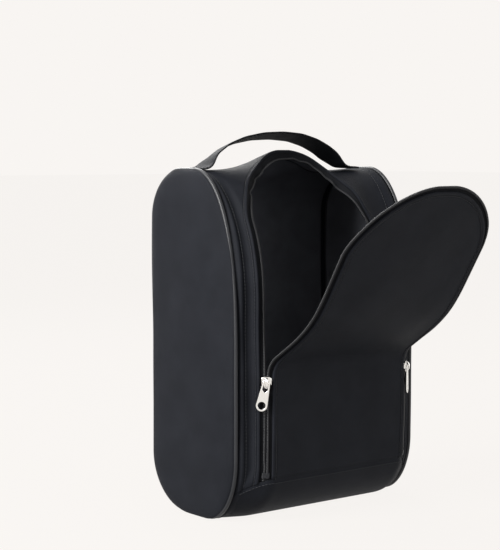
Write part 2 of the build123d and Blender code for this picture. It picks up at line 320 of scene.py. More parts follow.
# Sewing stitches: a short thread capsule at every pitch along a path. A pitch is four samples.
def stitchParts(path, normals):
    fine, fineNormals = evenSteps(path, normals, stitchSizes["pitch"] / 4)[:2]
    starts = np.arange(0, len(fine) - 4, 4)
    middles = fine[starts + 1]
    lift = fineNormals[starts + 1]
    along = unit(fine[starts + 2] - fine[starts])
    side = unit(np.cross(along, lift))
    angle = np.arange(6) * math.pi / 3
    rows = np.array(stitchSizes["rows"]) * stitchSizes["length"]
    girth = np.array(stitchSizes["girths"]) * stitchSizes["radius"]
    centres = middles[:, None] + along[:, None] * rows[None, :, None] + lift[:, None] * stitchSizes["lift"]
    ring = side[:, None] * np.cos(angle)[None, :, None] + lift[:, None] * np.sin(angle)[None, :, None]
    points = centres[:, :, None] + girth[None, :, None, None] * ring[:, None]
    toward = points - centres[:, :, None]
    flat = np.zeros((*points.shape[1:3], 2))
    return [sheetPart(p, flat, loopCols=True, caps=True, toward=t) for p, t in zip(points, toward)]


# 0 up to t = 0, 1 from t = 1, and three t squared minus two t cubed between them.
def smooth(t):
    t = np.clip(t, 0, 1)
    return t * t * (3 - 2 * t)


# The same from start to start + run. A negative run falls.
def rise(t, start, run):
    return smooth((t - start) / run)


# 1 at t = 0, falling to 1/e at reach on both sides. A higher power gives a flatter top.
def bell(t, reach, power=2):
    return np.exp(-np.abs(t / reach) ** power)


# Zero, then rising at slope one, with the corner rounded over reach.
def ramp(t, reach):
    h = np.maximum(reach - np.abs(t), 0) / reach
    return np.maximum(t, 0) + h * h * reach / 4


bag = {
    "height": 340.0, "panel half": 113.0, "seam x": 115.0, "seam front": 66.0, "back": 66.0, "bulge": 22.0,
    "flat half": 86.0, "top start": -2.0, "back seam": 16.0, "front top": 135.0, "back top": (50.0, 47.0),
    "back bottom": (60.0, 55.0), "front bottom": (46.0, 62.0), "front bottom middle": (60.0, 56.0),
    "corner": 6.97, "seam": 45.0, "seam dip": 15.0, "seam power": 1.5, "cloth": 1.8}
slopeRun = bag["panel half"] - bag["flat half"]
alongX = slopeRun / math.hypot(slopeRun, bag["bulge"])
alongY = bag["bulge"] / math.hypot(slopeRun, bag["bulge"])


# 1 on the flat middle of the front, falling to 0 at the side seams.
def acrossWeight(x):
    past = ramp((np.abs(x) - bag["flat half"]) / alongX, bag["corner"])
    return np.clip(1 - past * alongX / slopeRun, 0, 1)


# Sideways view of the bag as a loop. turn runs 0..8: base, front bottom corner, front, front top corner,
# top, back top corner, back, back bottom corner. Corners are quarter ellipses.
def loopPoint(x, turn):
    x, turn = np.broadcast_arrays(np.asarray(x, float), np.mod(turn, 8))
    w = acrossWeight(x)
    front = -(bag["seam front"] + bag["bulge"] * w)
    a = bag["front bottom"][0] + (bag["front bottom middle"][0] - bag["front bottom"][0]) * w
    b = bag["front bottom"][1] + (bag["front bottom middle"][1] - bag["front bottom"][1]) * w
    topA = bag["top start"] - front
    springZ = bag["height"] - bag["front top"]
    backA, backB = bag["back top"]
    lowA, lowB = bag["back bottom"]
    part = np.floor(turn)
    f = turn - part
    sine, cosine = np.sin(f * math.pi / 2), np.cos(f * math.pi / 2)
    baseBack = bag["back"] - lowA
    ys = [baseBack + f * (front + a - baseBack), front + a - a * sine, front + 0 * f,
          front + topA * (1 - cosine),
          bag["top start"] + f * (bag["back seam"] - bag["top start"]), bag["back seam"] + backA * sine,
          bag["back"] + 0 * f, baseBack + lowA * cosine]
    zs = [0 * f, b * (1 - cosine), b + f * (springZ - b), springZ + bag["front top"] * sine,
          bag["height"] + 0 * f,
          bag["height"] - backB + backB * cosine, bag["height"] - backB + f * (lowB - bag["height"] + backB),
          lowB - lowB * sine]
    masks = [part == k for k in range(8)]
    return np.stack([x, np.select(masks, ys), np.select(masks, zs)], -1)


hood = {
    "lift": 20.0, "lift width": (43.0, 2.4), "lift over": (296.0, 45.0), "in": 30.0, "in over": (23.0, 60.0),
    "in fade": (112.0, -16.0), "in height": 303.0, "in spread": 59.0, "back": 0.16, "down": 0.1,
    "fore": (45.0, -45.0)}


# The open mouth pulls the front of the top up into a hood, and its right side inwards and a little down.
def hooded(x, y, z):
    lift = hood["lift"] * bell(x, *hood["lift width"]) * rise(z, *hood["lift over"])
    inward = hood["in"] * rise(x, *hood["in over"]) * rise(x, *hood["in fade"]) \
        * bell(z - hood["in height"], hood["in spread"])
    moved = np.stack([-inward, hood["back"] * inward, lift - hood["down"] * inward], -1)
    return moved * rise(y, *hood["fore"])[..., None]


uneven = {
    "x": (0.7, 31.0, 38.0), "y": (0.9, 43.0, 57.0), "ripple": (0.4, 23.0, 27.0), "floor": (4.0, 40.0),
    "slider": (91.4, 139.0), "slider run": 60.0, "sag": 1.6, "sag y": 20.0, "sag reach": 45.0,
    "sag half": 125.0, "sag over": (250.0, 80.0)}


# Small unevenness of a sewn, filled bag, the same for every piece near a place: slow sine waves sideways
# and forward, fading out at the floor and the sliders, and a sag of the top along a bell curve.
def settled(points):
    x, y, z = points[..., 0], points[..., 1], points[..., 2]
    points = points + hooded(x, y, z)
    sliderX, sliderZ = uneven["slider"]
    fromSlider = np.hypot(np.abs(x) - sliderX, z - sliderZ)
    clear = rise(z, *uneven["floor"]) * smooth(fromSlider / uneven["slider run"])
    size, first, second = uneven["x"]
    dx = size * np.sin(z / first + 0.6) * np.sin(y / second + 1.1)
    size, first, second = uneven["y"]
    dy = size * np.sin(z / first + x / second)
    size, first, second = uneven["ripple"]
    dy = dy + size * np.sin(x / first - z / second)
    dz = -uneven["sag"] * bell(y - uneven["sag y"], uneven["sag reach"]) \
        * (1 - (x / uneven["sag half"]) ** 2) * rise(z, *uneven["sag over"])
    return points + np.stack([dx * clear, dy * clear, dz], -1)


skinStep = {"x": 0.4, "turn": 0.004}
bagCore = {"x share": 0.7, "y": -5.0, "z": 170.0}


# A point at a height above the bag's skin, with the outward direction there: square to the steps in x and
# turn, and away from the bag's core.
def skin(x, turn, lift=0.0):
    middle = loopPoint(x, turn)
    du = loopPoint(x + skinStep["x"], turn) - loopPoint(x - skinStep["x"], turn)
    dv = loopPoint(x, turn + skinStep["turn"]) - loopPoint(x, turn - skinStep["turn"])
    normal = unit(np.cross(du, dv))
    core = np.stack([middle[..., 0] * bagCore["x share"], np.full(middle.shape[:-1], bagCore["y"]),
                     np.full(middle.shape[:-1], bagCore["z"])], -1)
    normal = normal * np.sign((normal * (middle - core)).sum(-1, keepdims=True))
    return settled(middle + normal * np.asarray(lift)[..., None]), normal


loopTurns = np.linspace(0, 8, 801)
loopLengths = pathLengths(loopPoint(0 * loopTurns + 100, loopTurns))


# Distance round the bag at a turn, measured on the sloping margin.
def loopLength(turn):
    laps = np.floor(turn / 8)
    return np.interp(turn - 8 * laps, loopTurns, loopLengths) + laps * loopLengths[-1]


# Height of the seam above the base pan: it dips towards the side pipings.
def seamHeight(x):
    return bag["seam"] - bag["seam dip"] * (1 - acrossWeight(x)) ** bag["seam power"]


# Turn of the front at a height: an arc cosine on the bottom corner and straight above it.
def frontTurnAt(x, z):
    b = bag["front bottom"][1] + (bag["front bottom middle"][1] - bag["front bottom"][1]) * acrossWeight(x)
    springZ = bag["height"] - bag["front top"]
    low = 1 + np.arccos(np.clip(1 - z / b, -1, 1)) / (math.pi / 2)
    high = 2 + (z - b) / (springZ - b)
    return np.where(z < b, low, high)


# Turn of the back's bottom corner at a height, from an arc sine.
def backTurnAt(z):
    lowB = bag["back bottom"][1]
    return 7 + np.arcsin((lowB - z) / lowB) / (math.pi / 2)


# Turn of the point at x where y + z has this value, on the front top corner or the top.
def turnFromSum(x, total):
    front = -(bag["seam front"] + bag["bulge"] * acrossWeight(x))
    a = bag["top start"] - front
    b = bag["front top"]
    springZ = bag["height"] - b
    reach = np.hypot(a, b)
    delta = np.arctan2(a, b)
    theta = delta + np.arcsin(np.clip((total - (front + a) - springZ) / reach, -1, 1))
    topSum = bag["top start"] + bag["height"]
    return np.where(total > topSum, 4 + (total - topSum) / (bag["back seam"] - bag["top start"]),
                    3 + theta / (math.pi / 2))


# The corners of the mouth and flap are superellipses, a little more pointed than ellipses.
archPower = 1.15
zipper = {
    "half": 91.43, "top sum": 333.0, "corner x": 84.0, "corner sum": 104.7, "gap": 6.0, "reach": 12.0,
    "leg samples": 150, "corner samples": 72, "slider z": 139.0}


# The zip's middle line moved outwards by offset: x, turn, share of the leg climbed, and the arch angle.
# It runs up the left leg, over the arch and down the right leg.
def zipLine(offset):
    half = zipper["half"] + alongX * offset
    cornerX = zipper["corner x"] + alongX * offset
    cornerSum = zipper["corner sum"] + offset
    topSum = zipper["top sum"] + offset
    leg = np.linspace(0, 1, zipper["leg samples"])
    cornerTurn = turnFromSum(half, topSum - cornerSum)
    legTurn = frontTurnAt(half, seamHeight(half)) * (1 - leg) + cornerTurn * leg
    phi = np.linspace(0, math.pi / 2, zipper["corner samples"])[1:]
    x = half - cornerX * (1 - np.cos(phi) ** archPower)
    turn = turnFromSum(x, topSum - cornerSum + cornerSum * np.sin(phi) ** archPower)
    xs = np.concatenate([0 * leg + half, x])
    turns = np.concatenate([legTurn, turn])
    climbs = np.concatenate([leg, 0 * phi + 1])
    angles = np.concatenate([0 * leg, phi])
    join = [np.concatenate([-xs, xs[::-1]])]
    return join + [np.concatenate([part, part[::-1]]) for part in (turns, climbs, angles)]


hem = {
    "brim": 1.3, "brim reach": 0.5, "roll": 0.85, "roll reach": (4.4, 4), "sewn": 0.6, "sewn at": 4.6,
    "sewn reach": 0.7, "steps": (0.0, 0.25, 0.6, 1.1, 1.8, 2.6, 3.4, 3.9, 4.3, 4.7, 5.1, 5.6, 6.4, 8.0)}


# Cross-section of a turned and topstitched edge, by distance from the edge: a rounded brim, a raised roll
# and the dip of its stitching, each a bell curve.
def hemHeight(e):
    return hem["roll"] * bell(e, *hem["roll reach"]) - hem["brim"] * bell(e, hem["brim reach"]) \
        - hem["sewn"] * bell(e - hem["sewn at"], hem["sewn reach"])


sideSeam = {
    "groove": 0.9, "groove reach": 1.5, "ridge": 0.8, "ridge at": 4.6, "ridge reach": 1.9, "sewn": 0.6,
    "sewn at": 8.2, "sewn reach": 1.1}


# Distance along the sloping margin from the side piping.
def fromPiping(x):
    return (bag["panel half"] - np.abs(x)) / alongX


# Cloth beside a side piping: a groove, a ridge over the seam allowance, a stitched dip, all bell curves.
def pipingRelief(x):
    d = fromPiping(x)
    return sideSeam["ridge"] * bell(d - sideSeam["ridge at"], sideSeam["ridge reach"]) \
        - sideSeam["sewn"] * bell(d - sideSeam["sewn at"], sideSeam["sewn reach"]) \
        - sideSeam["groove"] * bell(d, sideSeam["groove reach"])


crossSeam = {"groove": 0.7, "groove reach": 1.6, "ridge": 0.35, "ridge at": 3.4, "ridge reach": 1.4}


# Cloth beside a seam across the bag, by distance from it: a groove and a low ridge.
def crossSeamRelief(run):
    return crossSeam["ridge"] * bell(run - crossSeam["ridge at"], crossSeam["ridge reach"]) \
        - crossSeam["groove"] * bell(run, crossSeam["groove reach"])


def shellPiece(piece, slot, *nodes):
    if nodes:
        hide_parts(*nodes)
    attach(piece, "shell")
    return piece


print("front surround")
backSeamTurn = 5.0
margin = {
    "columns": 18, "crowding": 1.25, "seam gap": 3.0, "relief over": (96.0, 6.0), "sink": 2.6,
    "sink over": (5.5, 5.0), "sink fade": (21.0, -8.0), "seam run": 0.12, "top fade": (3.9, -0.4)}
columns = [zipLine(zipper["gap"] + e) for e in hem["steps"]]
reliefs = [hemHeight(np.full(len(columns[0][0]), e)) for e in hem["steps"]]
innerX, innerTurn, climb, angle = columns[-1]
# the outer border goes up one side seam, along the back seam and down the other side seam
halfArch = math.pi / 4
legTop = innerTurn[zipper["leg samples"] - 1]
along = np.clip(angle / halfArch, 0, 1)
inwards = np.clip(angle / halfArch - 1, 0, 1)
outerX = np.sign(innerX) * (bag["panel half"] * (1 - inwards) + margin["seam gap"] * inwards)
outerTurn = legTop + (backSeamTurn - legTop) * along
for share in 1 - (1 - np.linspace(0, 1, margin["columns"] + 1)[1:]) ** margin["crowding"]:
    x = innerX + (outerX - innerX) * share
    onLeg = frontTurnAt(x, seamHeight(x)) * (1 - climb) + legTop * climb
    turn = np.where(climb < 1, onLeg, innerTurn + (outerTurn - innerTurn) * share)
    columns.append([x, turn, climb, angle])
    reliefs.append(np.zeros(len(x)))
x, turn, climb = [np.stack([column[k] for column in columns]) for k in range(3)]
relief = np.stack(reliefs) + pipingRelief(x) * rise(np.abs(x), *margin["relief over"])
# between the piping and the hem the cloth sinks in, and comes out again at the base seam and the top
sink = margin["sink"] * rise(fromPiping(x), *margin["sink over"]) * rise(fromPiping(x), *margin["sink fade"])
relief = relief - sink * smooth(climb / margin["seam run"]) * rise(turn, *margin["top fade"])
points, normals = skin(x, turn, relief)
uv = np.stack([x, loopLength(turn)], -1)
surround = meshPiece("front_surround_cloth", clothParts(points, normals, uv, bag["cloth"], ("first",)),
                     [outerFabric, painted_light_lining])
shellPiece(surround, "outer_fabric", "front_surround")

print("back, base and side panels")


panelLook = {"cols": 71, "puff run": 30.0, "side relief": 0.7}


# Panel between two turns, puffed a little, with seam edges pulled in.
def panelGrid(turnsAt, rows, puff):
    cross = -np.cos(np.linspace(0, math.pi, panelLook["cols"])) * bag["panel half"]
    share = np.linspace(0, 1, rows)[:, None]
    x = np.broadcast_to(cross, (rows, len(cross)))
    first, last = turnsAt(x)
    turn = first + (last - first) * share
    run = np.minimum(share, 1 - share) * np.abs(loopLength(last) - loopLength(first))
    lift = puff * smooth(run / panelLook["puff run"]) + crossSeamRelief(run)
    points, normals = skin(x, turn, lift + panelLook["side relief"] * pipingRelief(x))
    return clothParts(points, normals, np.stack([x, loopLength(turn)], -1), bag["cloth"], ())


back = meshPiece("back_panel_cloth", panelGrid(
    lambda x: (backSeamTurn + 0 * x, backTurnAt(seamHeight(x))), 110, 0.6), [outerFabric, painted_light_lining])
shellPiece(back, "outer_fabric", "back_panel")
base = meshPiece("base_pan_cloth", panelGrid(
    lambda x: (backTurnAt(seamHeight(x)), 8 + frontTurnAt(x, seamHeight(x))), 90, 0.0), [outerFabric, painted_light_lining])
shellPiece(base, "outer_fabric", "base_pan")

sidePanel = {
    "dome": 6.5, "rows": 110, "cols": 61, "start": 116.4, "across power": 3.2, "rise power": 9,
    "drape run": 4.0, "folds": 0.7, "fold height": 250.0, "fold spread": 120.0, "waves": 0.5}
pipingSizes = {
    "radius": 2.05, "samples": 640, "foot": 2.1, "foot reach": 5.0, "lump": 0.34, "lump turn": 5.16,
    "lump reach": 0.1}
bindingSizes = {"x": 109.5, "depth": 3.0, "half": 2.9, "thick": 0.7, "samples": 320}


# Front and back edge of the side profile at a height.
def profileEdges(z):
    frontA, frontB = bag["front bottom"]
    lowA, lowB = bag["back bottom"]
    topA, topB = bag["back top"]
    top = bag["height"]
    springZ = top - bag["front top"]
    frontLow = frontA * (1 - np.sqrt(np.clip(1 - (1 - z / frontB) ** 2, 0, 1)))
    frontHigh = (bag["seam front"] + bag["top start"]) * (
        1 - np.sqrt(np.clip(1 - ((z - springZ) / bag["front top"]) ** 2, 0, 1)))
    front = -bag["seam front"] + np.where(z < frontB, frontLow, np.where(z > springZ, frontHigh, 0))
    backLow = lowA * (1 - np.sqrt(np.clip(1 - ((lowB - z) / lowB) ** 2, 0, 1)))
    backHigh = topA * (1 - np.sqrt(np.clip(1 - ((z - top + topB) / topB) ** 2, 0, 1)))
    back = bag["back"] - np.where(z < lowB, backLow, np.where(z > top - topB, backHigh, 0))
    return front, back


for side, sign in (("left", -1), ("right", 1)):
    z = bag["height"] / 2 * (1 - np.cos(np.linspace(0, math.pi, sidePanel["rows"])))[:, None]
    across = -np.cos(np.linspace(0, math.pi, sidePanel["cols"]))[None, :]
    front, behind = profileEdges(z)
    y = (front + behind) / 2 + (behind - front) / 2 * across
    fromMiddle = np.abs(2 * z / bag["height"] - 1)
    # a shallow pillow: full height in the middle, steep only beside the piping
    profile = (1 - np.abs(across) ** sidePanel["across power"]) * (1 - fromMiddle ** sidePanel["rise power"])
    pillow = sidePanel["dome"] * profile ** 0.5
    folds = sidePanel["folds"] * np.sin(y / 17 + 0.7 + z / 160) * bell(
        z - sidePanel["fold height"], sidePanel["fold spread"])
    waves = sidePanel["waves"] * np.sin(y / 26 - z / 60 + sign)
    ripples = smooth(pillow / sidePanel["drape run"]) * (folds + waves)
    x = sign * (sidePanel["start"] + pillow + ripples) + 0 * y
    z = z + 0 * y
    points = np.stack([x, y, z], -1)
    uv = np.stack([y, z], -1)
    outward = np.zeros_like(points) + np.array([sign, 0, 0])
    panel = meshPiece("side_panel_%s_cloth" % side, clothParts(points, outward, uv, bag["cloth"], ()),
                      [outerFabric, painted_light_lining])
    shellPiece(panel, "outer_fabric", "side_panel_" + side)

    # piping: a round cord in cloth, with a lump where its ends lap
    turns = np.linspace(0, 8, pipingSizes["samples"], endpoint=False)
    path, normals = skin(0 * turns + bag["panel half"], turns, 0.1)
    normals[:, 0] = 0
    path[:, 0] = sign * bag["seam x"]
    path[:, 2] += pipingSizes["foot"] * np.exp(-np.maximum(path[:, 2], 0) / pipingSizes["foot reach"])
    lump = 1 + pipingSizes["lump"] * bell(turns - pipingSizes["lump turn"], pipingSizes["lump reach"])
    section = ringSection(pipingSizes["radius"], pipingSizes["radius"], 14)
    ring = carried(path, unit(normals), section, lump, True)
    cord = meshPiece("piping_%s_cord" % side, [ring], [pipingCloth])
    shellPiece(cord, "piping", "piping_" + side)

    # binding over the seam allowance inside
    turns = np.linspace(0, 8, bindingSizes["samples"], endpoint=False)
    path, normals = skin(0 * turns + bindingSizes["x"], turns, -bindingSizes["depth"])
    path[:, 0] *= sign
    normals[:, 0] *= sign
    section = ringSection(bindingSizes["half"], bindingSizes["thick"], 12)
    ring = carried(path, normals, section, 1.0, True)
    binding = meshPiece("seam_binding_%s_tape" % side, [ring], [bindingCloth])
    shellPiece(binding, "binding_tape", "seam_binding_" + side)

print("body side of the zip")
tapeThickness = 0.7


# Tape of a thickness, one cloth on both faces. Its yarns run along the tape.
def tapeParts(points, normals, turned):
    uv = np.array(sheetPart(points)["uv"])
    if turned:
        uv = uv[:, :, ::-1]
    parts = clothParts(points, normals, uv, tapeThickness, ("first", "last", "left", "right"))
    for part in parts:
        part["slot"] = 0
    return parts


bodyTape = {
    "hinge": 6.0, "free": 5.1, "extra": 3.4, "depth": 1.5, "droop": 28.0, "arch droop": 34.0, "clear": 6.0,
    "clear run": 40.0, "waves": ((0.13, 4.6, 0.0), (0.11, 3.1, 1.3), (0.1, 7.3, 0.0)), "calm": 22.0,
    "hidden": (12.0, 9.0), "hidden depth": 2.0, "rows": 7}


# The free edge of the body's tape at a distance in from its hinge line. Above the slider it droops
# into the bag, most of all over the arch, where its edge is wavy.
def bodyTapePoint(t, lift=0.0):
    x0, turn0, climb, angle = zipLine(bodyTape["hinge"])
    hinge = skin(x0, turn0)[0]
    height = hinge[:, 2]
    opened = rise(height, zipper["slider z"] + bodyTape["clear"], bodyTape["clear run"])
    arch = smooth(angle)
    run = pathLengths(hinge)
    # the waves are sines that fade at the middle, where the two halves of the arch meet
    wave = sum(size * np.sin(run / length + phase) for size, length, phase in bodyTape["waves"])
    wave = wave * arch * smooth(np.abs(x0) / bodyTape["calm"])
    droop = np.radians(opened * (bodyTape["droop"] + bodyTape["arch droop"] * arch))
    droop = droop + wave * opened
    length = t * (1 + bodyTape["extra"] / bodyTape["free"] * arch * opened)
    nearX, nearTurn = zipLine(bodyTape["hinge"] - 1.0)[:2]
    start, normal = skin(x0, turn0, -bodyTape["depth"])
    inner = unit(skin(nearX, nearTurn, -bodyTape["depth"])[0] - start)
    ahead = inner * np.cos(droop)[:, None] - normal * np.sin(droop)[:, None]
    above = normal * np.cos(droop)[:, None] + inner * np.sin(droop)[:, None]
    return start + ahead * length[:, None] + above * lift, above


rows = []
for o in bodyTape["hidden"]:
    x, turn = zipLine(o)[:2]
    rows.append(skin(x, turn, -bodyTape["hidden depth"]))
rows += [bodyTapePoint(t) for t in np.linspace(0, bodyTape["free"], bodyTape["rows"])]
parts = tapeParts(*[np.stack([row[k] for row in rows]) for k in range(2)], True)
tape = meshPiece("zip_tape_body_cloth", parts, [tapeCloth])
shellPiece(tape, "zip_tape", "zip_tape_body")

coilSizes = {
    "pitch": 1.5, "across": 1.2075, "up": 0.9975, "step": 0.3, "in": 4.7, "lift": 0.55, "valley": 0.72,
    "rib": 0.42}


# A nylon coil seen as a ribbed cord: its girth follows the size of a sine, one rib per pitch.
def coilPart(path, normals):
    path, normals, at = evenSteps(path, normals, coilSizes["step"])
    ribs = coilSizes["valley"] + coilSizes["rib"] * np.abs(np.sin(math.pi * at / coilSizes["pitch"]))
    return carried(path, normals, ringSection(coilSizes["across"], coilSizes["up"], 8), ribs)


path, normals = bodyTapePoint(coilSizes["in"], coilSizes["lift"])
coil = meshPiece("zip_coil_body_teeth", [coilPart(path, normals)], [coilPlastic])
shellPiece(coil, "zip_coil", "zip_coil_body")

sewing = {
    "hem lift": 0.1, "side turns": (1.75, 4.95), "side lift": -0.75, "base half": 108.0, "base drop": 4.0,
    "base lift": 0.3}
x, turn = zipLine(zipper["gap"] + hem["sewn at"])[:2]
stitches = stitchParts(*skin(x, turn, sewing["hem lift"]))
for sign in (-1, 1):
    turns = np.linspace(*sewing["side turns"], 300)
    x = 0 * turns + sign * (bag["panel half"] - sideSeam["sewn at"] * alongX)
    stitches += stitchParts(*skin(x, turns, sewing["side lift"]))
x = np.linspace(-sewing["base half"], sewing["base half"], 120)
level = seamHeight(x) - sewing["base drop"]
for turns in (frontTurnAt(x, level), backTurnAt(level)):
    stitches += stitchParts(*skin(x, turns, sewing["base lift"]))
seams = meshPiece("body_topstitching", stitches, [thread])
shellPiece(seams, "outer_fabric")

print("flap")
flap = {
    "fold z": 148.0, "front y": -88.0, "length": 226.0, "half": 93.0, "corner l": 84.0, "corner s": 77.0,
    "gap": 6.0, "lean": 54.0, "lean over": (-9.0, 28.0), "set back": 22.5, "set over": (30.0, 84.0),
    "turned": 39.17, "turned open": 16.0, "turn over": (-12.0, 60.0), "aside": 8.0,
    "aside over": (-8.0, 90.0), "bow": 2.5, "bow run": 90.0, "upright to": -18.0, "low end": -116.0}


# Lean of the open flap from upright, by distance above the fold line: it rises over the fold and is then set
# back a little.
def leanAt(s):
    lean = flap["lean"] * rise(s, *flap["lean over"])
    return np.radians(lean - flap["set back"] * rise(s, *flap["set over"]))


# The flap's middle line: along the front as far as it is upright, then stepped along its lean.
sRun = np.linspace(flap["upright to"], flap["length"] + 12, 1200)
sLow = np.linspace(flap["low end"], flap["upright to"] - 0.2, 300)
lowPoints = loopPoint(0 * sLow, frontTurnAt(0 * sLow, sLow + flap["fold z"]))
lean = leanAt((sRun[:-1] + sRun[1:]) / 2)
stepLength = sRun[1] - sRun[0]
yRun = flap["front y"] - np.concatenate([[0], np.cumsum(np.sin(lean) * stepLength)])
zRun = flap["fold z"] + flap["upright to"] + np.concatenate([[0], np.cumsum(np.cos(lean) * stepLength)])
sAll = np.concatenate([sLow, sRun])
yAll = np.concatenate([lowPoints[:, 1], yRun])
zAll = np.concatenate([lowPoints[:, 2], zRun])
dy, dz = np.gradient(yAll, sAll), np.gradient(zAll, sAll)
nyAll, nzAll = -dz / np.hypot(dy, dz), dy / np.hypot(dy, dz)


# The flap as a sheet: l across and s up from the fold. Its margins outside the flat middle are turned back.
def flapPoint(l, s):
    l, s = np.broadcast_arrays(np.asarray(l, float), np.asarray(s, float))
    back = ramp(np.abs(l) - bag["flat half"], bag["corner"])
    eased = (flap["turned"] - flap["turned open"]) * rise(s, *flap["turn over"])
    turned = np.radians(flap["turned"] - eased)
    bow = flap["bow"] * (l / flap["half"]) ** 2 * smooth(s / flap["bow run"])
    behind = np.sin(turned) * back + bow
    aside = flap["aside"] * rise(s, *flap["aside over"])
    x = np.sign(l) * (np.abs(l) - (1 - np.cos(turned)) * back) + aside
    ny, nz = np.interp(s, sAll, nyAll), np.interp(s, sAll, nzAll)
    return np.stack([x, np.interp(s, sAll, yAll) - ny * behind, np.interp(s, sAll, zAll) - nz * behind], -1)


# A point at a height above the flap's sheet, with the outward direction there.
def flapSkin(l, s, lift=0.0, step=0.5):
    middle = flapPoint(l, s)
    normal = unit(np.cross(flapPoint(l + step, s) - flapPoint(l - step, s),
                           flapPoint(l, s + step) - flapPoint(l, s - step)))
    normal = normal * np.where(normal[..., 1:2] > 0, -1, 1)
    points = middle + normal * np.asarray(lift)[..., None]
    # the settled shape of the body fades out above the fold
    share = 1 - smooth((np.asarray(s, float) + 0 * np.asarray(l, float)) / 40 + 0.5)[..., None]
    return points + (settled(points) - points) * share, normal


drape = {"slow": 0.8, "quick": 0.5, "low": (-30.0, 60.0), "side": (81.0, -25.0), "top": (216.0, -30.0)}


# Ripples of the open flap's cloth: two crossing sines that fade out at its edges.
def flapDrape(l, s):
    ripples = drape["slow"] * np.sin(l / 34 + s / 41) + drape["quick"] * np.sin(l / 19 - s / 26 + 1)
    return ripples * rise(s, *drape["low"]) * rise(np.abs(l), *drape["side"]) * rise(s, *drape["top"])


# The flap's outline over the arch, left to right, for an offset.
def flapArch(offset, count=81):
    cornerL, cornerS = flap["corner l"] + offset, flap["corner s"] + offset
    phi = np.linspace(0, math.pi / 2, count)
    l = flap["half"] + offset - cornerL * (1 - np.cos(phi) ** archPower)
    s = flap["length"] - flap["corner s"] + cornerS * np.sin(phi) ** archPower
    return np.concatenate([-l, l[::-1]]), np.concatenate([s, s[::-1]])


bends = [
    {"name": "flap_lower", "bodies": ("shell", "lower_flap"), "s": (-103.2, -20.0), "over": (-98.0, -82.0),
     "rows": 80, "rims": ("first", "left", "right"),
     "nodes": ["flap_base_strip", "flap_panel_lower", "flap_fold_strip"],
     "zips": ["flap_base", "flap_lower"]},
    {"name": "flap_1", "bodies": ("lower_flap", "upper_flap_1"), "s": (-20.0, 70.0), "over": (-10.0, 14.0),
     "rows": 60, "rims": ("left", "right"), "nodes": ["flap_panel_1"], "zips": ["flap_1"]},
    {"name": "flap_2", "bodies": ("upper_flap_1", "upper_flap_2"), "s": (70.0, 149.0), "over": (118.0, 149.0),
     "rows": 54, "rims": ("left", "right"), "nodes": ["flap_panel_2"], "zips": ["flap_2"]},
    {"name": "flap_3", "bodies": ("upper_flap_2", "upper_flap_3"), "s": (149.0, 226.0),
     "over": (165.0, 206.0), "rows": 34, "rims": ("last",), "nodes": ["flap_panel_3"], "zips": ["flap_3"]}]


def flapPiece(piece, bend, slot, *nodes):
    if nodes:
        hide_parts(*nodes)
    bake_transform(piece)
    return piece


